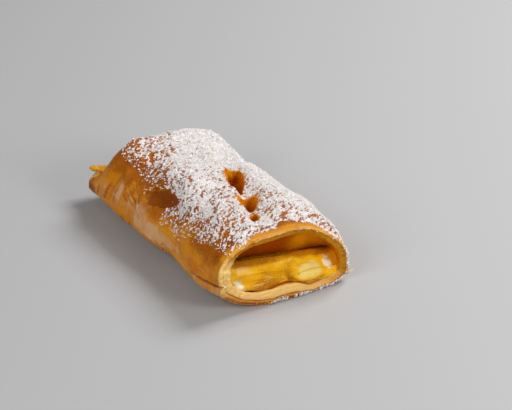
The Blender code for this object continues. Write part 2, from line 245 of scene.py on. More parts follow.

# What the crust's material reads: sugar and dust are the cover and the thickness of the icing sugar, and
# right is the right part of the hollow, which painted light brightens.
CRUST_TINTS = ("sugar", "dust", "pale", "brown", "cream", "lip", "hollow", "right")

# Colours, as linear red, green and blue.
DEEP_BROWN = (0.200, 0.040, 0.003)
BROWN = (0.380, 0.100, 0.004)
GOLD = (0.620, 0.185, 0.004)
LIGHT_GOLD = (0.700, 0.265, 0.008)
PALE_DOUGH = (0.690, 0.395, 0.195)
CREAM = (0.920, 0.670, 0.270)
LIGHT_CREAM = (0.840, 0.480, 0.100)
LIP_GOLD = (0.550, 0.265, 0.018)
LIP_BROWN = (0.480, 0.185, 0.008)
# The hollow's brown is partly painted shade, and its bright gold is painted light on the right.
HOLLOW_BROWN_AND_SHADE = (0.380, 0.058, 0.001)
HOLLOW_PAINTED_LIGHT = (1.000, 0.400, 0.002)
# The tears' colours are brightened by painted light, for light that shines through their walls.
TORN_BROWN = (0.600, 0.205, 0.001)
TORN_GOLD = (0.860, 0.370, 0.008)
# The custard's deepest gold is mostly painted shade, and its whitest colour is a painted highlight.
CUSTARD_DEEP_AND_SHADE = (0.470, 0.160, 0.001)
CUSTARD_GOLD = (1.000, 0.520, 0.005)
CUSTARD_PALE = (0.980, 0.720, 0.220)
CUSTARD_PAINTED_HIGHLIGHT = (1.000, 0.930, 0.700)
# The sugar's shaded colour is painted shade, which crust and sugar mix with the white at random.
SUGAR_WHITE = (0.880, 0.855, 0.845)
SUGAR_SHADE = (0.690, 0.640, 0.622)
# Thin sugar dust on the crust between the clumps, darkened by painted shade.
SUGAR_DUST_AND_SHADE = (0.340, 0.265, 0.235)
FLOOR_COLOUR = (0.440, 0.440, 0.445)
ROOM_COLOUR = (1.000, 0.990, 0.980, 1)

# The studio: half the floor's side in mm, how bright the room is, and its lamps, each a name, the
# direction it shines from, its distance and size in metres and its power in watts.
FLOOR_REACH = 3000
ROOM_STRENGTH = 0.20
LAMPS = [
    ("key", (0.72, 0.10, 0.80), 0.9, 0.40, 6.4),
    ("mouth_light", (0.30, -0.80, 0.48), 0.9, 0.30, 3.2),
    ("fill", (-0.80, -0.30, 0.60), 1.1, 0.60, 4.8),
]

# The camera: the angles it looks from, its distance, how far to the right and up the picture's middle
# lies from the place it is aimed at, and how many mm a pixel of the photo covers there.
CAMERA_AZIMUTH = -31.0
CAMERA_ELEVATION = 30.0
CAMERA_DISTANCE = 1200.0
PICTURE_MIDDLE = (16.6, 16.3)
AIM = (1.30, -3.04, 0.0)
MM_PER_PIXEL = 0.46
PICTURE_WIDTH = 512
SENSOR = 36.0


def along(value, knots):
    """A smooth curve through (place, height) knots, read at value."""
    places, heights = np.array(knots, float).T
    slopes = np.gradient(heights, places)
    value = np.clip(value, places[0], places[-1])
    i = np.clip(np.searchsorted(places, value, side="right") - 1, 0, len(places) - 2)
    span = places[i + 1] - places[i]
    s = (value - places[i]) / span
    rise = s * s * (3 - 2 * s)
    bend = s * (1 - s) * span * ((1 - s) * slopes[i] - s * slopes[i + 1])
    return heights[i] + (heights[i + 1] - heights[i]) * rise + bend


def step(low, high, value):
    """0 at low, 1 at high, and smooth between."""
    s = np.clip((value - low) / (high - low), 0, 1)
    return s * s * (3 - 2 * s)


def bell(value, middle, width, power=2):
    """1 at middle, and falling to 0 over about width on both sides of it."""
    return np.exp(-(((value - middle) / width) ** power))


def bump(x, y, at, reach):
    """A round swelling of height 1."""
    return np.exp(-(((x - at[0]) / reach[0]) ** 2) - ((y - at[1]) / reach[1]) ** 2)


def raised(height, x, y, swellings):
    """height with round swellings on it, each given by its own height, middle and reach."""
    for swelling, at, reach in swellings:
        height = height + swelling * bump(x, y, at, reach)
    return height


def xyz(x, y, z):
    """Points from their three coordinates."""
    return np.stack(np.broadcast_arrays(x, y, z), axis=-1)


def noise(points, scale, seed):
    """Smooth random values between -1 and 1 whose features are about scale mm across, in up to 3 axes."""
    lattice = np.random.default_rng(seed).uniform(-1, 1, (32, 32, 32))
    place = points / scale
    cell = np.floor(place).astype(int)
    inside = place - cell
    inside = inside * inside * (3 - 2 * inside)
    total = 0
    for corner in np.ndindex(2, 2, 2):
        weight = np.prod(np.where(corner, inside, 1 - inside), axis=-1)
        i, j, k = np.moveaxis((cell + corner) % 32, -1, 0)
        total = total + weight * lattice[i, j, k]
    return total


def mixed_noise(points, *layers):
    """Noises added up, each given by its height, scale and seed."""
    return sum(height * noise(points, scale, seed) for height, scale, seed in layers)


def loop_noise(theta, per_radian, seed):
    """Noise round a loop, with about per_radian features in each radian."""
    return noise(xyz(theta * per_radian, 0, 0), 1.0, seed)


def rough_noise(points, scale, seed, octaves=3):
    """Noise with finer noise on it, each octave half as large and half as high."""
    total = 0
    for octave in range(octaves):
        total = total + noise(points, scale / 2**octave, seed + octave) / 2**octave
    return total / (2 - 2 ** (1 - octaves))


def sheet_level(points, scale, seed, count):
    """Which of count thin sheets lying on each other shows at a place, and how far past its edge."""
    return count * (0.5 + 0.5 * rough_noise(points, scale, seed))


def sheets(points, scale, seed, count):
    """Heights between 0 and 1 that rise in sharp steps at the edges of the sheets."""
    level = sheet_level(points, scale, seed, count)
    return (np.floor(level) + step(0.0, 0.16, level % 1)) / count


def sheet_edges(points, scale, seed, count):
    """1 along the edges of those sheets, and 0 away from them."""
    return bell(sheet_level(points, scale, seed, count) % 1, 0.14, 0.10)


def lumps(x, y, z):
    """Gentle unevenness of hand-folded dough, between -1 and 1."""
    first = np.sin(0.21 * x + 0.13 * y + 1.7)
    second = np.sin(0.17 * y - 0.19 * z + 0.4)
    third = np.sin(0.31 * x - 0.24 * y + 0.11 * z + 2.9)
    return (first + second + third) / 3


def dome(x, halves, middle, over, under, squareness):
    """Lowest and highest z of a rounded section at x, widest at the height middle."""
    on_left = x < 0
    across = np.clip(np.abs(x) / np.where(on_left, *halves), 0, 1)
    power_over = np.where(on_left, *squareness["over"])
    power_under = np.where(on_left, *squareness["under"])
    low = middle - (middle - under) * (1 - across**power_under) ** (1 / power_under)
    high = middle + (over - middle) * (1 - across**power_over) ** (1 / power_over)
    return low, high


def loop_x(theta, halves, squareness):
    """x round a section, spaced so that its corners get enough points."""
    c = np.cos(theta)
    power_over = np.where(c < 0, *squareness["over"])
    power_under = np.where(c < 0, *squareness["under"])
    power = np.where(np.sin(theta) >= 0, power_over, power_under)
    return np.sign(c) * np.abs(c) ** (2 / power) * np.where(c < 0, *halves)


def outer_halves(y):
    """Half widths of the crust's outside, to the left and to the right."""
    return LEFT_HALF + along(y, LEFT_SIDE), RIGHT_HALF + along(y, RIGHT_SIDE)


def outer_squareness(y):
    """How square its section is over and under its widest place, each on the left and on the right."""
    return {"over": (along(y, LEFT_SQUARENESS), along(y, RIGHT_SQUARENESS)), "under": UNDER_SQUARENESS}


def roof(x, y):
    """Height of the crown over the table."""
    height = raised(CROWN + along(y, CROWN_LINE), x, y, SWELLINGS)
    aside = x - along(y, SEAM)
    valley = bell(aside, 0, np.where(aside < 0, *SEAM_REACH))
    return height - SEAM_DEPTH * valley * step(2, 26, y) * (1 - step(76, 92, y))


def underside(x, y):
    """Height of the bottom. It curls up at both ends, and else the table cuts it flat."""
    mouth_curl = 1.0 * step(8, -2, y) * step(-8, -24, x)
    far_curl = 2.5 * step(108, 120, y)
    return mouth_curl + far_curl - 0.7


def outer_heights(x, y):
    """Lowest and highest z of the crust's outside."""
    halves = outer_halves(y)
    leftness = (1 - x / np.where(x < 0, *halves)) / 2
    waist = along(y, RIGHT_WAIST) + (along(y, LEFT_WAIST) - along(y, RIGHT_WAIST)) * leftness
    return dome(x, halves, waist, roof(x, y), underside(x, y), outer_squareness(y))


def folds(theta, x, y, z):
    """Relief of the crust's outside along its normal: the side seam, its flap, wrinkles and dents."""
    turn = np.degrees(theta)
    flap = step(160, 172, turn) * (1 - step(236, 250, turn)) * (1 - step(36, 50, y))
    over_seam = z - along(y, SIDE_SEAM)
    swollen = 1.3 * bell(over_seam, -4.0, 2.4)
    groove = 1.7 * bell(over_seam, 0, 0.8) * (1 - 0.65 * step(20, 32, y))
    relief = flap * (swollen - groove)
    on_left_wall = step(4, 9, z) * step(29, 21, z) * (x < 0)
    for place, reach, depth in WRINKLES:
        relief = relief - depth * bell(y, place - 0.2 * (z - 14), reach) * on_left_wall
    for depth, at, reach, lowest in DENTS:
        relief = relief - depth * bump(x, y, at, reach) * (z > lowest)
    return relief + 0.35 * lumps(x, y, z) * step(0.3, 4, z)


def outer_section(theta, y):
    """x and z round the crust's outside, before its folds."""
    x = loop_x(theta, outer_halves(y), outer_squareness(y))
    low, high = outer_heights(x, y)
    return x, np.where(np.sin(theta) >= 0, high, low)


def outside(theta, y):
    """Points of the crust's outside. Its lowest stretch is flat, where it stands on the table."""
    nudge = 0.01
    x, z = outer_section(theta, y)
    x_next, z_next = outer_section(theta + nudge, y)
    normal_x, normal_z = z_next - z, x - x_next
    relief = folds(theta, x, y, z) / (np.hypot(normal_x, normal_z) + 1e-9)
    return xyz(x + relief * normal_x, y, np.maximum(z + relief * normal_z, 0))


def custard_top(x, y):
    """Height of the custard. Its rolled front is higher on the left."""
    slope = np.where(x < 0, 0.19, 0.13) * (1 - step(14, 36, y))
    return along(y, CUSTARD_LINE) - slope * x + 1.0 * bump(x, y, (15, 7), (8, 4))


def floor_height(x, y):
    """Top of the crust's bottom: a lip of curled layers stands up along the left half of the mouth."""
    lip = (0.7 + 3.6 * step(13, 4, x) + 0.8 * bump(x, y, (-1, 0), (4, 9))) * (1 - step(0, 9, y))
    return BOTTOM_SHEET + lip + 2.2 * step(108, 120, y)


def ceiling(x, y):
    """The inside of the roof: thin at the mouth's rim, where the layers end, and sagging to the custard."""
    at_rim = roof(x, y) - RIM_SHEET
    resting = custard_top(x, y) + CLEARANCE
    sag = step(4, 16, y) * (1 - 0.75 * step(106, 120, y))
    return np.maximum(at_rim + (resting - at_rim) * sag, resting)


def hollow_halves(y):
    """Half widths of the hollow, to the left and to the right."""
    left, right = outer_halves(y)
    return left - SIDE_SHEET - FAR_CORNER_WALL * step(104, 118, y), right - RIM_SHEET


def hollow_heights(x, y):
    """Floor and ceiling of the hollow. At both ends its left corner is a point well above the floor."""
    mouth_corner = MOUTH_CORNER_LIFT * step(6, -32, x) * (1 - step(2, 22, y))
    far_corner = FAR_CORNER_LIFT * step(-6, -30, x) * step(104, 120, y)
    waist = HOLLOW_WAIST + mouth_corner + far_corner
    over = np.maximum(ceiling(x, y), waist + 1)
    return dome(x, hollow_halves(y), waist, over, floor_height(x, y), HOLLOW_SQUARENESS)


def inside(theta, y):
    """Points of the crust's inside."""
    x = loop_x(theta, hollow_halves(y), HOLLOW_SQUARENESS)
    low, high = hollow_heights(x, y)
    return xyz(x, y, np.where(np.sin(theta) >= 0, high, low))


def filling(theta, y):
    """Points of the custard: it fills the hollow up to its own top and touches the crust."""
    left, right = hollow_halves(y)
    side_gap = 1.25 * TOUCH
    mouth_gap = 3.9 * (1 - step(2, 16, y))
    left = left - side_gap - mouth_gap + TONGUE_SPREAD * step(118, 123, y)
    right = right - side_gap
    thinnest = 0.4
    c, s = np.cos(theta), np.sin(theta)
    x = np.sign(c) * np.abs(c) ** (2 / FILLING_SQUARENESS) * np.where(c < 0, left, right)
    low, high = hollow_heights(x, y)
    low = low + TOUCH
    high = np.maximum(np.minimum(high - TOUCH, custard_top(x, y)), low + thinnest)
    high = high + TONGUE_SWELL * step(118, 123, y)
    low = low - TONGUE_SAG * step(119.5, 122, y)
    share = 0.5 + 0.5 * np.sign(s) * np.abs(s) ** (2 / FILLING_SQUARENESS)
    return xyz(x, y, low + (high - low) * share)


def mouth_edge(theta):
    """y of the crust's edge round the mouth."""
    return along(np.degrees(theta), MOUTH_EDGE)


def far_edge(theta):
    """y of its edge round the far end."""
    return LENGTH - along(np.degrees(theta), FAR_EDGE)


def angles(count):
    """Angles round a section, closer together on the sides and the crown than underneath."""
    fine = np.linspace(0, 2 * np.pi, 40 * count)
    density = 1 - 0.55 * step(-0.35, -0.6, np.sin(fine))
    passed = np.concatenate([[0], np.cumsum(density[:-1])])
    return np.interp(np.linspace(0, passed[-1], count, endpoint=False), passed, fine)


def grid(front, back, count, theta, crowding=0.10):
    """Angles and places for rows along the pastry, with rows closer together near both ends."""
    share = np.linspace(0, 1, count)
    share = share - crowding * np.sin(2 * np.pi * share)
    places = front + (back - front) * share[:, None]
    return np.broadcast_to(theta, places.shape), places


def grid_normals(points):
    """Unit normals of a grid of points that closes round its second axis, pointing out of a crust loop."""
    round_loop = np.roll(points, -1, axis=1) - np.roll(points, 1, axis=1)
    lengthways = np.gradient(points, axis=0)
    normals = np.cross(lengthways, round_loop)
    return normals / (np.linalg.norm(normals, axis=-1, keepdims=True) + 1e-12)


def grid_faces(rows, sides, closed=False):
    """Quads between the rows of a grid that closes round, and back to its first row if closed."""
    first = np.arange(rows if closed else rows - 1)[:, None]
    column = np.arange(sides)[None, :]
    after, beside = (first + 1) % rows, (column + 1) % sides
    corners = [first * sides + column, first * sides + beside, after * sides + beside, after * sides + column]
    return np.stack([np.broadcast_to(c, (len(first), sides)) for c in corners], axis=-1).reshape(-1, 4)


def add_object(name, data):
    """An object of the scene that holds data."""
    item = bpy.data.objects.new(name, data)
    bpy.context.scene.collection.objects.link(item)
    return item


def mesh_object(name, points, faces, material):
    """An object from points in mm and a list of faces."""
    data = bpy.data.meshes.new(name)
    data.from_pydata(((points - ORIGIN) * MM).tolist(), [], faces)
    data.materials.append(material)
    return add_object(name, data)


def new_piece(name, points, faces, material, replaces=None):
    """A smooth shaded mesh object that rides on the part's body."""
    piece = mesh_object(name, points, faces, material)
    piece.data.shade_smooth()
    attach(piece, "root")
    if replaces:
        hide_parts(replaces)
    return piece


def paint(piece, name, values):
    """A value for each point that the material reads."""
    layer = piece.data.attributes.new(name, "FLOAT", "POINT")
    layer.data.foreach_set("value", np.ascontiguousarray(values, np.float32).ravel())


def in_tear(x, y, grow=1.0):
    """How deep inside a tear's outline a place of the crown lies: over 0 inside, below 0 outside."""
    depth = np.full(np.shape(x), FAR_OUTSIDE)
    for tear in TEARS:
        v = (y - tear["at"][1]) / (tear["reach"][1] * grow)
        across = x - tear["at"][0] - tear["lean"] * v * tear["reach"][1] * grow
        u = across / (tear["reach"][0] * grow * (1 + tear["pear"] * v))
        depth = np.maximum(depth, 1 - np.hypot(u, v))
    return depth


def patch_depth(points):
    """How deep inside the bare patch a place lies: 1 at its middle, 0 on its ragged edge, below 0 outside."""
    x, y, z = np.moveaxis(points, -1, 0)
    half_across, half_along = BARE_PATCH["halves"]
    v = y - BARE_PATCH["at"][1]
    u = x - BARE_PATCH["at"][0] - BARE_PATCH["lean"] * v
    narrowing = 1 - 0.5 * step(0, -1, v / half_along)
    ragged = mixed_noise(points, (0.24, 4.5, 32), (0.24, 1.8, 36))
    depth = 1 - np.hypot(u / half_across / narrowing, v / half_along) + ragged
    return np.where(z > SHOULDER_HEIGHT, depth, FAR_OUTSIDE)


def sugar_thickness(points, normals):
    """How thick the icing sugar lies, from 0 to 1, before its own unevenness."""
    x, y, z = np.moveaxis(points, -1, 0)
    from_left = x - along(y, SUGAR_LEFT) + mixed_noise(points, (2.2, 6.0, 31), (1.0, 2.2, 35))
    thick = along(y, SUGAR_ALONG) * (0.30 + 0.70 * np.clip(from_left / along(y, SUGAR_RAMP), 0, 1))
    thick = thick + 0.24 * step(4, 24, x) * step(12, 30, y)
    thick = thick * (1 - 0.34 * step(-0.55, -0.05, in_tear(x, y))) - 0.06 * bump(x, y, (-18, 69), (7, 9))
    thick = thick * (1 - 0.90 * step(-0.02, 0.10, patch_depth(points))) * step(-1.5, 1.0, from_left)
    lies = step(0.05, 0.42, normals[..., 2] + 0.12 * noise(points, 3.0, 33))
    behind_mouth = y - along(x, SUGAR_FRONT) + 1.2 * noise(points, 3.5, 34)
    return np.clip(thick * lies * step(-0.8, 0.8, behind_mouth), 0, 1) * (z > 6)


def sugar_cover(points, thickness):
    """Where sugar covers the crust, from 0 to 1: short streaks about half a millimetre wide, as it fell."""
    streaks = 0.62 * noise(points @ SUGAR_STREAKS, 0.62, 41)
    cluster = streaks + mixed_noise(points, (0.38, 0.56, 42), (0.20, 3.6, 43))
    return step(-0.16, 0.20, cluster + 1.15 * (thickness - 0.5)) * step(0.02, 0.10, thickness)


def creases(x, y, z):
    """For each crease of the left side: how far a place lies beside it, counted in its widths, how strong
    the crease is there, and how deep."""
    for (y_middle, z_middle), lean, half_length, width, depth in CREASES:
        aside = y - y_middle - lean * (z - z_middle)
        yield aside / width, bell(z, z_middle, half_length, power=4) * (x < 0), depth


def crust_relief(theta, points, normals):
    """Fine relief of the crust's outside along its normal: blisters and crackle on the crown, sheets and
    creases down the sides, the edge of the bare patch, and grain."""
    x, y, z = np.moveaxis(points, -1, 0)
    crown = step(0.2, 0.7, normals[..., 2])
    patch = patch_depth(points)
    blisters = 0.8 * np.maximum(noise(points, 4.2, 51), 0) ** 1.5
    crackle = 0.7 * sheets(points, 5.5, 52, 5)
    baked = (blisters + crackle - 0.5) * (1 - step(-0.1, 0.2, patch))
    pulled = 0.30 * rough_noise(points * (0.5, 1.0, 0.35), 2.6, 55)
    swells = 0.55 * noise(points, 7.5, 57)
    near_mouth = 1 - step(1, 12, y - mouth_edge(theta))
    layers = sheets(points * WALL_STRETCH, *WALL_SHEETS) * (0.85 + 0.25 * near_mouth)
    flaky = pulled + layers + swells - 0.6
    relief = crown * baked + (1 - crown) * flaky
    for aside, strength, depth in creases(x, y, z):
        relief = relief + depth * strength * (0.45 * bell(aside, 2.0, 1.4) - bell(aside, 0, 1))
    flaked_off = 0.25 * step(-0.04, 0.10, patch)
    curled = 0.55 * bell(patch, -0.10, 0.07) * step(-28, -31, x) * step(67, 63, y)
    grain = mixed_noise(points, (0.05, 0.9, 61), (0.035, 0.5, 62))
    return (relief + grain + curled - flaked_off) * step(0.0, 3.0, z)


def pale_dough(points, normals):
    """Where the outside is pale stretched dough: low on the sides, underneath and along edges of sheets."""
    x, y, z = np.moveaxis(points, -1, 0)
    pale = raised(0, y, z, PALE_PATCHES) * (x < 0)
    pale = pale + 0.45 * step(1.0, -1.0, z - along(y, SIDE_SEAM)) * step(48, 34, y) * (x < 0)
    pale = pale + 0.45 * step(0.3, 0.9, normals[..., 0]) * step(13, 7, z)
    pale = pale + 0.5 * step(-0.2, -0.8, normals[..., 2])
    streaks = rough_noise(points * (0.6, 1.0, 0.4), 2.8, 101)
    pale = 0.25 * pale + 0.75 * step(0.38, 0.72, pale + 0.45 * streaks)
    wall = step(0.7, 0.2, normals[..., 2])
    pale = pale + 0.34 * wall * sheet_edges(points * WALL_STRETCH, *WALL_SHEETS)
    for aside, strength, _ in creases(x, y, z):
        pale = pale + 0.35 * strength * bell(aside, 2.2, 1.3)
    return pale


def browned_and_shaded_dough(theta, points, normals):
    """Where the outside is brown: baked brown over the crown, there partly painted shade of the sugar, and in
    the bare patch; painted shade in the seam and the creases; browner at the far corner; and less round the
    mouth and the tears."""
    x, y, z = np.moveaxis(points, -1, 0)
    patches = 0.5 + 0.5 * rough_noise(points, 9.0, 102)
    mottled = 0.5 + 0.5 * rough_noise(points, 3.4, 103)
    crown = step(0.3, 0.8, normals[..., 2])
    shoulder = step(19, 25, z) * (1 - crown)
    # Over the crown the brown is baked browning, and partly painted shade of the sugar.
    over_top = (0.72 + 0.24 * step(20, 45, y)) * crown * (1 - 0.45 * step(-23, -31, x)) + 0.20 * shoulder
    brown = over_top * (0.45 + 0.8 * patches)
    brown = brown + (0.12 + 0.85 * mottled) * step(-0.05, 0.30, patch_depth(points))
    brown = brown + 0.22 * bump(x, y, (-29, 14), (6, 9)) * (z > 14)
    brown = brown + 0.8 * bump(y, z, (118, 7.5), (5, 3.5)) * (x < 0)
    brown = brown + 0.30 * step(0.3, 0.9, normals[..., 0]) * step(0.35, 0.75, patches)
    brown = brown + 0.6 * step(-0.2, -0.8, normals[..., 2]) * patches
    brown = brown + 0.45 * step(112, 120, y) * step(14, 10, z) * step(4, 8, z)
    behind_edge = y - mouth_edge(theta)
    brown = brown * (0.55 + 0.45 * step(1.5, 4.5, behind_edge))
    brown = brown + 0.34 * crown * bell(behind_edge, 5.5, 2.6)
    brown = brown * (1 - 0.6 * step(-0.6, -0.1, in_tear(x, y)) * (z > CROWN_HEIGHT))
    # Painted shade in the groove of the side seam.
    seam = bell(z, along(y, SIDE_SEAM), 0.6) * step(32, 20, y) * (x < 0)
    brown = (brown + 0.7 * seam) * step(0.3, 3.5, behind_edge)
    # Painted shade in the creases.
    for aside, strength, _ in creases(x, y, z):
        brown = brown + 0.55 * strength * bell(aside, 0, 1)
    return brown


def outside_tints(theta, points, normals):
    """Tints of the crust's outside, each from 0 to 1. Round the mouth it is cream, then moist gold."""
    behind_edge = points[..., 1] - mouth_edge(theta)
    over = step(-0.35, 0.1, np.sin(theta))
    tints = {
        "pale": pale_dough(points, normals),
        "brown": browned_and_shaded_dough(theta, points, normals),
        "cream": 0.30 * (1 - step(0.0, 0.9, behind_edge)) * over,
        "lip": 0.80 * (1 - step(0.6, 4.0, behind_edge)) * over,
    }
    return {name: np.clip(value, 0, 1) for name, value in tints.items()}


def rim_bottom(theta):
    """1 along the bottom of a cut edge, and 0 along its crown."""
    return step(-0.05, -0.6, np.sin(theta))


def rim_left(theta):
    """1 at the left corner of a cut edge, and 0 away from it."""
    return step(-0.72, -0.95, np.cos(theta))


def rim_tints(theta):
    """Tints across a cut edge. Its sheets are cream, then the crown's edge turns into a moist gold lip,
    and the bottom's outermost sheets are baked brown. Painted shade takes cream out of the split in the
    bottom's bulge."""
    share = RIM_SHARES[:, None] + 0.05 * loop_noise(theta, 14, 95)
    low, left = rim_bottom(theta), rim_left(theta)
    crown_cream = 0.62 * bell(share, 0.19, 0.09) * (1 - left) + 0.85 * left
    bottom_cream = 0.18 * step(0.14, 0.26, share) + 0.54 * step(0.44, 0.52, share)
    # Painted shade in the split of the bottom's bulge.
    bottom_cream = bottom_cream * (1 - 0.7 * bell(share, BOTTOM_SPLIT, 0.04))
    bottom_cream = bottom_cream * (1 - 0.65 * step(0.15, 0.65, np.cos(theta)))
    crown_brown = 0.30 * (1 - step(0.0, 0.14, share))
    bottom_brown = (0.30 + 0.30 * (1 - step(0.10, 0.24, share))) * (1 - step(0.40, 0.50, share))
    return {
        "cream": crown_cream * (1 - low) + bottom_cream * low,
        "brown": crown_brown * (1 - low) + bottom_brown * low,
        "lip": step(0.20, 0.34, share) * (1 - low),
    }


def inside_tints(theta, points):
    """Tints of the crust's inside: cream and a moist lip by the mouth, which turn brown further in, a brown
    that is partly painted shade. On the right the lip reaches further in and the hollow is brighter, both
    painted light.
    """
    rows_in = np.arange(INNER_ROWS)[:, None] + 0 * theta
    # On the right the gold lip reaches further in, as painted light.
    lip = 1 - step(0.5, 5.0 + 16.0 * step(0.35, 0.85, np.cos(theta)), rows_in)
    bottom = 0.9 * (1 - step(0, 3, rows_in)) * step(0, -0.5, np.sin(theta))
    corner = 0.8 * (1 - step(0, 4, rows_in)) * rim_left(theta) * (np.sin(theta) > -0.5)
    # right marks where painted light brightens the hollow.
    return {"cream": bottom + corner, "lip": lip, "hollow": 1 - lip, "right": step(2, 20, points[..., 0])}


def rim_relief(share, theta, row, seed):
    """How far a cut edge stands out at share of the way from the outside to the inside. Along the crown
    it is a narrow ridge of thin sheets, and along the bottom a full bulge with one split in it."""
    low = rim_bottom(theta)
    arch = np.sin(np.pi * share)
    ridge = 0.80 * bell(share, 0.17, 0.11) + 0.35 * arch
    bulge = 1.4 * arch**0.6 - 1.3 * bell(share, BOTTOM_SPLIT, 0.05) - 0.6 * step(0.42, 0.10, share)
    sheet = share * RIM_SHEETS + 0.22 * noise(row, 6.0, seed)
    place = xyz(np.floor(sheet) * 5.3, theta * 11.0, 0)
    proud = noise(place, 1.0, seed + 1) + 0.6 * noise(place * (1, 3.7, 1), 1.0, seed + 2)
    gap = bell(sheet, np.round(sheet), 0.14)
    thin = arch**0.5 * (SHEET_STEP * proud - 0.28 * gap)
    return ridge * (1 - low) + bulge * low + thin * (1 - 0.55 * low)


def cut_edge(outer_edge, inner_edge, theta, outward, seed):
    """Rows of points across a cut edge, from the crust's outside to its inside."""
    rows = []
    for share in RIM_SHARES:
        row = outer_edge + (inner_edge - outer_edge) * share
        row[:, 1] += outward * rim_relief(share, theta, row, seed)
        row += 0.05 * noise(row, 0.7, seed + 5)[:, None]
        rows.append(row)
    return np.array(rows)


def crust_inside(theta, front, back):
    """Rows of points along the crust's inside, which is thickened to a lip behind the mouth."""
    slope = LIP_SLOPE * step(0.0, 0.6, np.sin(theta))
    inner = inside(*grid(front + slope, back - 0.5 * slope, INNER_ROWS, theta, crowding=0.13))
    swollen = 1 - step(0, LIP_DEPTH, inner[..., 1] - inner[0, :, 1])
    inner[..., 2] -= LIP_SWELL["crown"] * step(0.1, 0.7, np.sin(theta)) * swollen
    inner[..., 0] -= LIP_SWELL["right"] * step(0.35, 0.85, np.cos(theta)) * swollen
    inner[..., 0] += LIP_SWELL["left"] * step(0.45, 0.90, -np.cos(theta)) * swollen
    behind_lip = step(0, 3, np.arange(INNER_ROWS))[:, None]
    bubbles = mixed_noise(inner, (0.22, 3.4, 74), (0.12, 1.3, 75)) * behind_lip
    return inner - grid_normals(inner) * bubbles[..., None]


def make_crust(material, torn):
    """The crust as one closed grid: its outside, the far cut edge, its inside and the mouth's cut edge.
    Returns what the sugar and the flakes need to lie on it."""
    theta = angles(SIDES)
    ragged = 0.30 * loop_noise(theta, 12, 71) + 0.2 * loop_noise(theta, 40, 72)
    front, back = mouth_edge(theta) + ragged, far_edge(theta) + 1.5 * ragged
    turns, places = grid(front, back, OUTER_ROWS, theta)
    smooth = outside(turns, places)
    normals = grid_normals(smooth)
    thickness = sugar_thickness(smooth, normals)
    cover = sugar_cover(smooth, thickness)
    sugar_height = cover * (0.10 + 0.22 * thickness) * (1 + 0.5 * noise(smooth, 0.8, 73))
    from_edges = step(0, 1.2, places - front) * step(0, 1.2, back - places)
    relief = crust_relief(turns, smooth, normals) * (0.25 + 0.75 * from_edges)
    outer = smooth + normals * (relief + sugar_height)[..., None]
    outer[..., 2] = np.maximum(outer[..., 2], 0)

    inner = crust_inside(theta, front, back)
    front_rim = cut_edge(outer[0], inner[0], theta, -1, 80)
    back_rim = cut_edge(outer[-1], inner[-1], theta, 1, 90)
    rows = np.concatenate([outer, back_rim, inner[::-1], front_rim[::-1]])
    faces = grid_faces(len(rows), SIDES, closed=True).tolist()
    crust = new_piece("pastry_crust", rows.reshape(-1, 3), faces, material, "crust")
    crust.data.flip_normals()

    dusting = {"sugar": cover, "dust": thickness}
    surfaces = (
        (outer, dusting | outside_tints(turns, smooth, normals)),
        (front_rim, rim_tints(theta)),
        (inner, inside_tints(theta, inner)),
    )
    for name in CRUST_TINTS:
        over, across, within = (tints.get(name, np.zeros(points.shape[:2])) for points, tints in surfaces)
        far = across * FAR_RIM_CREAM if name == "cream" else across
        paint(crust, name, np.concatenate([over, far, within[::-1], across[::-1]]))
    cut_tears(crust, torn)
    return {"points": outer, "normals": normals, "thickness": thickness, "cover": cover, "rim": front_rim}


def tear_walls(number, tear, turn):
    """Rows of points up the walls of a tear, narrower where it opens into the hollow and wider at its lip."""
    (x_middle, y_middle), (x_reach, y_reach) = tear["at"], tear["reach"]
    surface = roof(np.array(x_middle), np.array(y_middle))
    rows = []
    for height in np.linspace(*TEAR_HEIGHTS, TEAR_ROWS):
        over = height - surface
        spot = xyz(np.cos(turn) * 4, np.sin(turn) * 4, height * 0.5)
        grow = 0.93 + 0.16 * step(-4, 1.5, over) - 0.10 * step(-4, -14, over)
        grow = grow + mixed_noise(spot, (0.11, 2.2, 110 + number), (0.07, 0.8, 120 + number))
        v = np.sin(turn) * grow
        u = np.cos(turn) * grow * (1 + tear["pear"] * v)
        rows.append(xyz(x_middle + u * x_reach + tear["lean"] * v * y_reach, y_middle + v * y_reach, height))
    return np.array(rows)


def cut_tears(crust, material):
    """Cuts the tears through the crown into the hollow. Their walls get the material."""
    turn = np.linspace(0, 2 * np.pi, TEAR_SIDES, endpoint=False)
    faces = grid_faces(TEAR_ROWS, TEAR_SIDES).tolist()
    faces.append(list(range(TEAR_SIDES))[::-1])
    faces.append(list(range((TEAR_ROWS - 1) * TEAR_SIDES, TEAR_ROWS * TEAR_SIDES)))
    for number, tear in enumerate(TEARS):
        points = tear_walls(number, tear, turn).reshape(-1, 3)
        cutter = mesh_object(f"tear_{number}", points, faces, material)
        cut = crust.modifiers.new(cutter.name, "BOOLEAN")
        cut.operation = "DIFFERENCE"
        cut.solver = "EXACT"
        cut.material_mode = "TRANSFER"
        cut.object = cutter
        bpy.context.view_layer.objects.active = crust
        bpy.ops.object.modifier_apply(modifier=cut.name)
        bpy.data.objects.remove(cutter)
    crust.data.shade_smooth()


def lobe_edge(x, z):
    """1 in the crease that runs round the left and lower side of the right lobe, and 0 away from it."""
    across, up = (x - LOBE["at"][0]) / LOBE["halves"][0], (z - LOBE["at"][1]) / LOBE["halves"][1]
    return bell(np.hypot(across, up), 1, 0.14) * step(-0.35, 0.35, -0.75 * across - 0.65 * up)


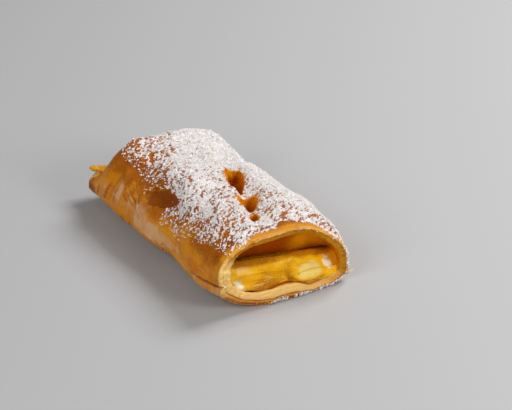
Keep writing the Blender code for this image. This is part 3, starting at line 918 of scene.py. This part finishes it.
def custard_relief(points):
    """Lobes and folds of the custard in the mouth, and its waves and pores everywhere."""
    x, y, z = np.moveaxis(points, -1, 0)
    lobes = raised(-1.5 * lobe_edge(x, z), x, z, CUSTARD_LOBES)
    under = z - 4.6 + 0.05 * x - 0.4 * np.sin(0.3 * x)
    lower_crease = -0.9 * bell(under, 0, 0.8) * step(2, 8, x) * step(24, 17, x)
    waves = mixed_noise(points, (0.40, 7.0, 131), (0.12, 3.0, 132))
    pores = -0.07 * step(0.35, 0.75, noise(points, 0.8, 134))
    return (lobes + lower_crease) * step(14, 8, y) + waves + pores


def ragged_spot(points, at, reach, edge, ragged):
    """A spot on the custard's front whose edge is ragged: 1 inside and 0 outside."""
    return step(*edge, bump(points[..., 0], points[..., 2], at, reach) + mixed_noise(points, ragged))


def custard_tints(points):
    """Tints of the custard, each from 0 to 1: painted shade as a deeper gold low on the left lobe and in and
    under the crease round the right lobe, a deeper gold over its top behind the crest and at the far end, a
    pale painted highlight on the right lobe, and glossier spots whitened by painted highlights."""
    x, y, z = np.moveaxis(points, -1, 0)
    in_mouth = step(40, 25, y)
    # Painted shade: a deeper gold low on the left lobe, in the crease round the right lobe and low under it.
    deep = raised(0.7 * lobe_edge(x, z), x, z, PAINTED_SHADE_PLACES)
    over_crest = z - 12.6 + 0.13 * x + 0.8 * noise(points, 4.0, 135)
    deep = (deep + 0.95 * step(1.2, 3.2, over_crest)) * in_mouth + 0.6 * step(112, 118, y)
    # Painted highlights: a pale patch on the right lobe, and whiter spots where the custard is glossier.
    painted_pale_highlight = ragged_spot(points, (13.5, 8.3), (7.0, 2.9), (0.30, 0.62), (0.25, 2.4, 136))
    gloss_and_painted_highlight = ragged_spot(points, (25.0, 8.8), (4.2, 2.4), (0.45, 0.85), (0.45, 1.5, 137))
    gloss_and_painted_highlight = gloss_and_painted_highlight + ragged_spot(points, (-22.5, 11.5), (2.6, 3.4), (0.50, 0.85), (0.45, 1.2, 138))
    tints = {"deep": deep, "painted_pale_highlight": painted_pale_highlight * in_mouth, "gloss_and_painted_highlight": gloss_and_painted_highlight * in_mouth}
    return {name: np.clip(value, 0, 1) for name, value in tints.items()}


def cap(edge, bulge):
    """Rings that close an end of the custard from its middle out to its edge."""
    rings = np.linspace(0.03, 1, CAP_ROWS, endpoint=False)[:, None, None]
    rows = edge.mean(axis=0) + (edge - edge.mean(axis=0)) * rings
    rows[..., 1] += bulge * (1 - rings[..., 0] ** 2)
    return rows


def make_custard(material):
    """The filling as one grid along the pastry, closed at both ends."""
    theta = np.linspace(0, 2 * np.pi, FILLING_SIDES, endpoint=False)
    front = along(np.degrees(theta), CUSTARD_EDGE)
    back = LENGTH + TONGUE - TONGUE_SLANT * step(-0.9, 0.1, np.cos(theta))
    turns, places = grid(front, back, FILLING_ROWS, theta, crowding=0.14)
    body = filling(turns, places)
    # The top edges of both ends are rounded off by drawing their last rows towards the middle.
    share = (places - front) / (back - front)
    drawn_in = 1 - np.sqrt(np.clip(np.minimum(0.6 + share / 0.10, 0.7 + (1 - share) / 0.06), 0, 1))
    towards = body.mean(axis=1, keepdims=True) - body
    body[..., 2] += towards[..., 2] * drawn_in * step(-0.1, 0.6, np.sin(theta))
    rows = np.concatenate([cap(body[0], -1.0), body, cap(body[-1], 0.8)[::-1]])

    # Only what shows is lumpy: the ends, and the top near them. The rest lies against the crust.
    at_ends = step(26, 12, rows[..., 1]) + step(112, 120, rows[..., 1])
    on_cap = np.ones((CAP_ROWS, FILLING_SIDES))
    free = np.concatenate([on_cap, step(0.0, 0.35, np.sin(turns)), on_cap]) * at_ends
    from_front_edge = np.abs(np.arange(len(rows)) - CAP_ROWS)[:, None]
    free = free * np.where(np.sin(theta) < 0.2, step(0, 8, from_front_edge), 1.0)
    tints = custard_tints(rows)
    rows = rows + grid_normals(rows) * (custard_relief(rows) * free)[..., None]

    tips = np.stack([rows[0].mean(axis=0), rows[-1].mean(axis=0)])
    first_tip = rows[..., 0].size
    last_row = first_tip - FILLING_SIDES
    faces = grid_faces(len(rows), FILLING_SIDES).tolist()
    for i in range(FILLING_SIDES):
        beside = (i + 1) % FILLING_SIDES
        faces += [[beside, i, first_tip], [last_row + i, last_row + beside, first_tip + 1]]
    points = np.concatenate([rows.reshape(-1, 3), tips])
    custard = new_piece("pastry_custard", points, faces, material, "custard")
    custard.data.flip_normals()
    for name, values in tints.items():
        paint(custard, name, np.concatenate([values.ravel(), values[0, :1], values[-1, :1]]))


def icosahedron():
    """The twelve corners of a regular icosahedron of radius 1."""
    golden = (1 + 5**0.5) / 2
    corners = np.array([[a, b * golden, 0] for a in (-1, 1) for b in (-1, 1)], float)
    corners = np.concatenate([corners, corners[:, [2, 0, 1]], corners[:, [1, 2, 0]]])
    return corners / np.linalg.norm(corners[0])


def triangles(corners):
    """The triangles of a regular solid: its triples of corners that lie next to each other."""
    apart = np.linalg.norm(corners[:, None] - corners, axis=-1)
    near = apart < apart[0, 1:].min() * 1.01
    faces = []
    for i, j, k in itertools.combinations(range(len(corners)), 3):
        if near[i, j] and near[j, k] and near[i, k]:
            out = np.dot(np.cross(corners[j] - corners[i], corners[k] - corners[i]), corners[i])
            faces.append([i, j, k] if out > 0 else [i, k, j])
    return np.array(faces)


def turned(shapes, rng):
    """Each shape turned a random way."""
    q = rng.normal(size=(len(shapes), 4))
    w, x, y, z = (q / np.linalg.norm(q, axis=1, keepdims=True)).T
    turns = np.stack([
        xyz(1 - 2 * (y * y + z * z), 2 * (x * y - z * w), 2 * (x * z + y * w)),
        xyz(2 * (x * y + z * w), 1 - 2 * (x * x + z * z), 2 * (y * z - x * w)),
        xyz(2 * (x * z - y * w), 2 * (y * z + x * w), 1 - 2 * (x * x + y * y)),
    ], axis=1)
    return np.einsum("nij,nkj->nki", turns, shapes)


def scatter(name, corners, places, sizes, material, rng):
    """One piece of many crystals or clumps at their places, each an uneven copy of a regular solid."""
    shapes = corners * rng.uniform(0.6, 1.3, (len(places), len(corners), 1))
    shapes = shapes * rng.uniform(0.55, 1.5, (len(places), 1, 3))
    shapes = turned(shapes, rng) * sizes[:, None, None] + places[:, None]
    shapes[..., 2] = np.maximum(shapes[..., 2], 0)
    faces = triangles(corners) + (np.arange(len(places)) * len(corners))[:, None, None]
    piece = new_piece(name, shapes.reshape(-1, 3), faces.reshape(-1, 3).tolist(), material)
    piece.data.shade_flat()


def on_crust(count, crust, weight, rng):
    """Random places on the crust's outside, more where weight is high, and the normals there."""
    points = crust["points"]
    area = np.linalg.norm(np.cross(np.gradient(points, axis=0), np.gradient(points, axis=1)), axis=-1)
    chance = (area * weight).ravel()
    picked = rng.choice(chance.size, count, p=chance / chance.sum())
    row, column = np.unravel_index(picked, weight.shape)
    row = np.clip(row, 1, len(points) - 2)
    u, v = rng.uniform(-0.5, 0.5, (2, count, 1))
    lengthways = (points[row + 1, column] - points[row - 1, column]) * 0.5
    sideways = points[row, (column + 1) % SIDES] - points[row, column]
    return points[row, column] + u * lengthways + v * sideways, crust["normals"][row, column]


def rim_columns(rim, x, z):
    """Columns of the rim nearest to places round the mouth."""
    edge = rim[0]
    return np.argmin((edge[:, 0] - x[:, None]) ** 2 + (edge[:, 2] - z[:, None]) ** 2, axis=1)


def sugar_on_rim(rim, rng):
    """Places and sizes of the clumps in the heaps on the mouth's rim."""
    places, sizes = [], []
    for (x, z), share, spread, count in RIM_HEAPS:
        column = rim_columns(rim, x + rng.normal(0, spread, count), z + rng.normal(0, spread, count))
        row = np.clip((share + rng.normal(0, 0.07, count)) * RIM_ROWS, 0, RIM_ROWS - 1).astype(int)
        size = rng.uniform(*RIM_CLUMP_SIZE, count)
        place = rim[row, column] + rng.normal(0, 0.15, (count, 3))
        place[:, 1] -= 0.6 * size
        place[:, 2] = np.maximum(place[:, 2], 0.5 * size)
        places.append(place)
        sizes.append(size)
    return np.concatenate(places), np.concatenate(sizes)


def make_sugar(material, crust):
    """Icing sugar on the crust: fine crystals, and clumps that stand out where it fell thick."""
    rng = np.random.default_rng(7)
    x, y, z = np.moveaxis(crust["points"], -1, 0)
    cover, thickness = crust["cover"], crust["thickness"]
    clear = (in_tear(x, y, grow=1.06) < 0) | (z < CROWN_HEIGHT)
    drift = 0.5 + 0.5 * noise(crust["points"], 1.1, 141)
    sparse = step(0.03, 0.3, thickness)
    weight = (cover * (0.35 + thickness) + 0.06 * sparse) * clear * (0.2 + drift)
    places, out = on_crust(FINE_COUNT, crust, weight, rng)
    sizes = rng.uniform(*FINE_SIZE, FINE_COUNT) * rng.uniform(0.6, 1.15, FINE_COUNT)
    places = places + out * (0.4 * sizes)[:, None]
    scatter("sugar_crystals", np.array(OCTAHEDRON, float), places, sizes, material, rng)

    weight = (cover * (0.15 + thickness) + 0.12 * sparse) * clear * drift**2
    places, out = on_crust(CLUMP_COUNT, crust, weight, rng)
    sizes = CLUMP_SIZE[0] + (CLUMP_SIZE[1] - CLUMP_SIZE[0]) * rng.uniform(0, 1, CLUMP_COUNT) ** 2
    rim_places, rim_sizes = sugar_on_rim(crust["rim"], rng)
    places = np.concatenate([places + out * (0.3 * sizes)[:, None], rim_places])
    scatter("sugar_clumps", icosahedron(), places, np.concatenate([sizes, rim_sizes]), material, rng)


def flake_spots(crust, rng):
    """Where each flake lies, its half size, and the direction in which a long one points."""
    points, rim = crust["points"], crust["rim"]
    degrees = np.degrees(angles(SIDES))
    spots = [(np.array(place), size, direction) for place, size, direction in BIG_FLAKES]
    for (x, z), spread, count in RIM_FLAKES:
        for column in rim_columns(rim, x + rng.normal(0, spread, count), z + rng.normal(0, 1, count)):
            place = rim[rng.integers(3, 8), column] - np.array([0, 0.3, 0])
            spots.append((place, rng.uniform(0.3, 0.8), None))
    foot = np.searchsorted(degrees, FOOT_ANGLE)
    for row in FOOT_FLAKES:
        place = points[row, foot + rng.integers(-4, 4)]
        spots.append((place, rng.uniform(0.6, 1.3), None))
    for angle, row in CROWN_FLAKES:
        place = points[row, np.searchsorted(degrees, angle)] + np.array([0, 0, 0.15])
        spots.append((place, rng.uniform(0.5, 1.0), None))
    return spots


def pointed(shape, direction):
    """A flake drawn out to a narrow spike along direction."""
    lengthways = np.array(direction) / np.linalg.norm(direction)
    across = np.cross([0, 0, 1], lengthways)
    across = across / np.linalg.norm(across)
    narrow = shape * (1.0, 0.5, 0.6) * (1 - 0.45 * shape[:, :1] * (0, 1, 0))
    return narrow @ np.stack([lengthways, across, np.cross(lengthways, across)])


def flake_faces(side):
    """Faces of a flake: an upper and a lower square grid of points, joined round their edge."""
    index = np.arange(side * side).reshape(side, side)
    upper = np.stack([index[:-1, :-1], index[1:, :-1], index[1:, 1:], index[:-1, 1:]], axis=-1).reshape(-1, 4)
    ring = np.concatenate([index[:, 0], index[-1, 1:], index[-2::-1, -1], index[0, -2:0:-1]])
    beside = np.roll(ring, -1)
    edge = np.stack([ring, ring + side * side, beside + side * side, beside], axis=-1)
    return np.concatenate([upper, upper[:, ::-1] + side * side, edge])


def make_flakes(material, crust):
    """Crumbs and curled flakes of crust that broke off: at the mouth's bottom, along the left bottom edge
    and on the crown."""
    rng = np.random.default_rng(11)
    spots = flake_spots(crust, rng)
    u, v = np.meshgrid(np.linspace(-1, 1, FLAKE_SIDE), np.linspace(-1, 1, FLAKE_SIDE), indexing="ij")
    thick = (0, 0, 0.16) * (1 - 0.8 * np.maximum(np.abs(u), np.abs(v)).reshape(-1, 1) ** 4)
    flakes = []
    for place, size, direction in spots:
        curl = rng.uniform(0.15, 0.45) * (u**2) + rng.uniform(-0.2, 0.3) * u * v
        shrink = 1 - 0.35 * noise(xyz(u * 2, v * 2, 0) + place, 1.0, 151)
        top = xyz(u * shrink, v * shrink * rng.uniform(0.35, 0.8), curl).reshape(-1, 3)
        flake = np.concatenate([top + thick, top - thick])
        flake = turned(flake[None], rng)[0] if direction is None else pointed(flake, direction)
        flake = flake * size + place
        flake[:, 2] = np.maximum(flake[:, 2], 0.02)
        flakes.append(flake)
    corners = 2 * FLAKE_SIDE**2
    faces = flake_faces(FLAKE_SIDE) + (np.arange(len(spots)) * corners)[:, None, None]
    faces = faces.reshape(-1, 4).tolist()
    piece = new_piece("crust_flakes", np.concatenate(flakes), faces, material)
    paint(piece, "pale", np.repeat([direction is not None for _, _, direction in spots], corners))


class Graph:
    """A material's nodes, laid down by short calls."""

    def __init__(self, name):
        self.material = bpy.data.materials.new(name)
        self.material.use_nodes = True
        self.tree = self.material.node_tree
        self.shader = self.tree.nodes["Principled BSDF"]
        self.place = self.add("ShaderNodeTexCoord").outputs["Object"]

    def add(self, kind, **settings):
        node = self.tree.nodes.new(kind)
        for key, value in settings.items():
            setattr(node, key, value)
        return node

    def feed(self, value, socket):
        """Links value to socket, or sets it there where value is a number or a colour."""
        if isinstance(value, bpy.types.NodeSocket):
            self.tree.links.new(value, socket)
        elif isinstance(value, tuple) and socket.type == "RGBA":
            socket.default_value = (*value, 1)
        else:
            socket.default_value = value

    def math(self, operation, *values, clamp=False):
        node = self.add("ShaderNodeMath", operation=operation, use_clamp=clamp)
        for value, socket in zip(values, node.inputs):
            self.feed(value, socket)
        return node.outputs[0]

    def plus(self, first, second, clamp=False):
        return self.math("ADD", first, second, clamp=clamp)

    def times(self, first, second, clamp=False):
        return self.math("MULTIPLY", first, second, clamp=clamp)

    def attribute(self, name):
        return self.add("ShaderNodeAttribute", attribute_name=name).outputs["Fac"]

    def noise(self, size, detail=3.0, roughness=0.55, stretch=(1, 1, 1)):
        """Noise between 0 and 1 whose features are about size mm across."""
        mapping = self.add("ShaderNodeMapping")
        self.feed(self.place, mapping.inputs["Vector"])
        mapping.inputs["Scale"].default_value = stretch
        node = self.add("ShaderNodeTexNoise")
        self.feed(mapping.outputs[0], node.inputs["Vector"])
        node.inputs["Scale"].default_value = 1 / (size * MM)
        node.inputs["Detail"].default_value = detail
        node.inputs["Roughness"].default_value = roughness
        return node.outputs["Fac"]

    def ramp(self, value, low, high, start=0.0, end=1.0):
        """value between low and high, brought to between start and end."""
        node = self.add("ShaderNodeMapRange", interpolation_type="SMOOTHSTEP")
        self.feed(value, node.inputs["Value"])
        for name, number in (("From Min", low), ("From Max", high), ("To Min", start), ("To Max", end)):
            node.inputs[name].default_value = number
        return node.outputs[0]

    def mix(self, share, first, second):
        """The first colour where share is 0, and the second where it is 1."""
        node = self.add("ShaderNodeMix", data_type="RGBA")
        self.feed(share, node.inputs[0])
        self.feed(first, node.inputs[6])
        self.feed(second, node.inputs[7])
        return node.outputs[2]

    def bump(self, height, distance, strength, under=None):
        """A bumpy normal. Its height is up to distance mm, and it may lie over another bump."""
        node = self.add("ShaderNodeBump")
        node.inputs["Strength"].default_value = strength
        node.inputs["Distance"].default_value = distance * MM
        self.feed(height, node.inputs["Height"])
        if under:
            self.feed(under, node.inputs["Normal"])
        return node.outputs[0]

    def finish(self, **sockets):
        """The material, once its shader's sockets are fed. Their names are written with underscores."""
        for name, value in sockets.items():
            self.feed(value, self.shader.inputs[name.replace("_", " ")])
        return self.material


def crust_material():
    """Baked puff pastry: gold to brown, with painted shade in its seam and creases and under the sugar, pale
    where the sheets stretched, cream where they are cut, moist gold on the lip and brown in the hollow,
    darkened there by painted shade and brightened on its right by painted light, all under the dusting of
    sugar."""
    g = Graph("baked_crust")
    patches = g.noise(7.0, 4.0)
    freckles = g.noise(0.9, 3.0, 0.65)
    streaks = g.noise(2.0, 3.0, 0.6, stretch=(0.6, 1.0, 0.35))
    colour = g.mix(g.ramp(patches, 0.34, 0.66), GOLD, LIGHT_GOLD)
    browned = g.plus(g.attribute("brown"), g.ramp(freckles, 0.25, 0.8, -0.16, 0.22))
    browned = g.plus(browned, g.ramp(patches, 0.3, 0.7, 0.08, -0.10))
    colour = g.mix(g.ramp(browned, 0.08, 0.60), colour, BROWN)
    colour = g.mix(g.ramp(browned, 0.60, 1.20), colour, DEEP_BROWN)
    pale = g.times(g.attribute("pale"), g.ramp(streaks, 0.25, 0.7, 0.55, 1.15), clamp=True)
    colour = g.mix(pale, colour, PALE_DOUGH)
    colour = g.mix(g.attribute("lip"), colour, g.mix(g.ramp(freckles, 0.3, 0.7), LIP_GOLD, LIP_BROWN))
    layers = g.noise(0.7, 3.0, 0.6, stretch=(0.12, 0.5, 1.8))
    cream = g.times(g.attribute("cream"), g.ramp(freckles, 0.1, 0.5, 0.75, 1.0), clamp=True)
    colour = g.mix(cream, colour, g.mix(g.ramp(layers, 0.30, 0.56), LIGHT_CREAM, CREAM))
    # Painted shade in the hollow, brightened on its right by painted light.
    hollow_colour = g.mix(g.ramp(g.attribute("right"), 0.0, 1.0), HOLLOW_BROWN_AND_SHADE, HOLLOW_PAINTED_LIGHT)
    hollow_colour = g.mix(g.ramp(patches, 0.4, 0.8, 0.0, 0.4), hollow_colour, BROWN)
    hollow = g.times(g.attribute("hollow"), g.math("SUBTRACT", 1.0, cream), clamp=True)
    colour = g.mix(hollow, colour, hollow_colour)
    powder = g.ramp(g.noise(0.40, 2.0, 0.7), 0.3, 0.7, -0.34, 0.26)
    sugar = g.ramp(g.plus(g.attribute("sugar"), powder), 0.36, 0.60)
    # Thin sugar dust, darkened by painted shade between the clumps.
    dusted_and_shaded = g.mix(g.ramp(g.attribute("dust"), 0.45, 0.90, 0.0, 0.50), colour, SUGAR_DUST_AND_SHADE)
    # The sugar's white, mixed at random with painted shade.
    colour = g.mix(sugar, dusted_and_shaded, g.mix(g.ramp(g.noise(0.8, 2.0), 0.3, 0.7), SUGAR_SHADE, SUGAR_WHITE))
    roughness = g.ramp(g.plus(sugar, g.ramp(patches, 0.3, 0.7, 0.0, 0.25)), 0.0, 1.0, 0.38, 0.90)
    grain = g.bump(g.noise(0.35, 3.0, 0.6), 0.12, 0.6)
    normal = g.bump(g.noise(1.4, 4.0, 0.65), 0.35, 0.6, grain)
    return g.finish(
        Base_Color=colour, Roughness=roughness, Normal=normal,
        Specular_IOR_Level=0.15, Specular_Tint=(1.0, 0.55, 0.08),
        Subsurface_Weight=0.12, Subsurface_Scale=0.6 * MM, Subsurface_Radius=(1.0, 0.45, 0.15),
    )


def torn_material():
    """The moist sheets inside the tears, their colours brightened by painted light."""
    g = Graph("torn_dough")
    bands = g.noise(2.4, 3.0, 0.6, stretch=(0.7, 0.7, 1.6))
    return g.finish(
        Base_Color=g.mix(g.ramp(bands, 0.40, 0.70), TORN_BROWN, TORN_GOLD), Roughness=0.40,
        Normal=g.bump(g.noise(1.2, 4.0, 0.6), 0.35, 0.7),
        Specular_IOR_Level=0.30, Specular_Tint=(1.0, 0.50, 0.06),
        Subsurface_Weight=0.3, Subsurface_Scale=1.0 * MM, Subsurface_Radius=(1.0, 0.4, 0.1),
    )


def flake_material():
    """Thin dry flakes of crust, brown to pale."""
    g = Graph("dry_flakes")
    colour = g.mix(g.ramp(g.noise(2.6, 3.0), 0.35, 0.6), BROWN, LIGHT_GOLD)
    cream = g.math("MAXIMUM", g.ramp(g.noise(1.1, 3.0), 0.50, 0.66), g.attribute("pale"))
    return g.finish(
        Base_Color=g.mix(cream, colour, CREAM), Roughness=0.6, Specular_IOR_Level=0.2,
        Normal=g.bump(g.noise(0.5, 3.0, 0.6), 0.10, 0.6),
    )


def custard_material():
    """Baked vanilla custard: deep yellow, moist and glossy, with painted shade as a deeper gold, painted
    highlights as a paler patch and whiter spots, small pale bubbles and dark vanilla seeds."""
    g = Graph("vanilla_custard")
    clouds = g.ramp(g.noise(5.5, 3.0, 0.5), 0.3, 0.7, 0.15, -0.15)
    # Painted shade darkens the gold, and painted highlights pale and whiten it.
    colour = g.mix(g.plus(g.attribute("deep"), clouds, clamp=True), CUSTARD_GOLD, CUSTARD_DEEP_AND_SHADE)
    colour = g.mix(g.times(g.attribute("painted_pale_highlight"), 0.8), colour, CUSTARD_PALE)
    colour = g.mix(g.times(g.attribute("gloss_and_painted_highlight"), 0.9), colour, CUSTARD_PAINTED_HIGHLIGHT)
    bubbles = g.ramp(g.noise(0.55, 1.5, 0.6), 0.62, 0.72)
    colour = g.mix(g.times(bubbles, 0.65), colour, CUSTARD_PALE)
    seeds = g.ramp(g.noise(0.9, 0.0, 0.5), 0.80, 0.83)
    colour = g.mix(g.times(seeds, 0.8), colour, DEEP_BROWN)
    roughness = g.ramp(g.noise(2.0, 3.0, 0.6), 0.3, 0.7, 0.18, 0.36)
    roughness = g.math("SUBTRACT", roughness, g.times(g.attribute("gloss_and_painted_highlight"), 0.12), clamp=True)
    small = g.bump(g.noise(0.5, 3.0, 0.6), 0.10, 0.8)
    return g.finish(
        Base_Color=colour, Roughness=roughness, Normal=g.bump(g.noise(1.6, 2.0, 0.5), 0.30, 0.6, small),
        Specular_IOR_Level=0.16, Specular_Tint=(1.0, 0.75, 0.30),
        Subsurface_Weight=0.30, Subsurface_Scale=1.6 * MM, Subsurface_Radius=(1.0, 0.55, 0.08),
        Coat_Weight=0.15, Coat_Roughness=0.08,
    )


def sugar_material():
    """Icing sugar: white and dull, mixed at random with painted shade."""
    g = Graph("icing_sugar")
    colour = g.mix(g.ramp(g.noise(1.5, 2.0), 0.3, 0.7), SUGAR_SHADE, SUGAR_WHITE)
    return g.finish(Base_Color=colour, Roughness=0.85, Specular_IOR_Level=0.3)


def make_floor():
    """A plain pale floor under the pastry."""
    corners = np.array([(-1, -1, 0), (1, -1, 0), (1, 1, 0), (-1, 1, 0)])
    material = Graph("floor").finish(Base_Color=FLOOR_COLOUR, Roughness=0.7)
    mesh_object("floor", ORIGIN + FLOOR_REACH * corners, [(0, 1, 2, 3)], material)


def light_studio():
    """Soft square lamps that face the pastry, and a pale room."""
    for name, direction, distance, size, power in LAMPS:
        lamp = bpy.data.lights.new(name, "AREA")
        lamp.size = size
        lamp.energy = power
        light = add_object(name, lamp)
        towards = Vector(direction).normalized()
        light.location = towards * distance
        light.rotation_euler = towards.to_track_quat("Z", "Y").to_euler()
    world = bpy.data.worlds.new("studio")
    world.use_nodes = True
    room = world.node_tree.nodes["Background"].inputs
    room["Color"].default_value = ROOM_COLOUR
    room["Strength"].default_value = ROOM_STRENGTH
    bpy.context.scene.world = world
    bpy.context.scene.view_settings.view_transform = "Standard"


def add_camera():
    """The camera at the photo's angle, as far away as the photo's flat perspective asks."""
    azimuth, elevation = math.radians(CAMERA_AZIMUTH), math.radians(CAMERA_ELEVATION)
    back = Vector((math.sin(azimuth) * math.cos(elevation), -math.cos(azimuth) * math.cos(elevation),
                   math.sin(elevation)))
    right = Vector((math.cos(azimuth), math.sin(azimuth), 0))
    up = back.cross(right)
    lens = bpy.data.cameras.new("camera")
    lens.sensor_width = SENSOR
    lens.lens = SENSOR * CAMERA_DISTANCE / (PICTURE_WIDTH * MM_PER_PIXEL)
    camera = add_object("camera", lens)
    aim = Vector(AIM) + right * PICTURE_MIDDLE[0] + up * PICTURE_MIDDLE[1]
    camera.location = (aim + back * CAMERA_DISTANCE) * MM
    camera.rotation_euler = (-back).to_track_quat("-Z", "Y").to_euler()
    bpy.context.scene.camera = camera


crust = make_crust(crust_material(), torn_material())
make_custard(custard_material())
make_sugar(sugar_material(), crust)
make_flakes(flake_material(), crust)
make_floor()
light_studio()
add_camera()
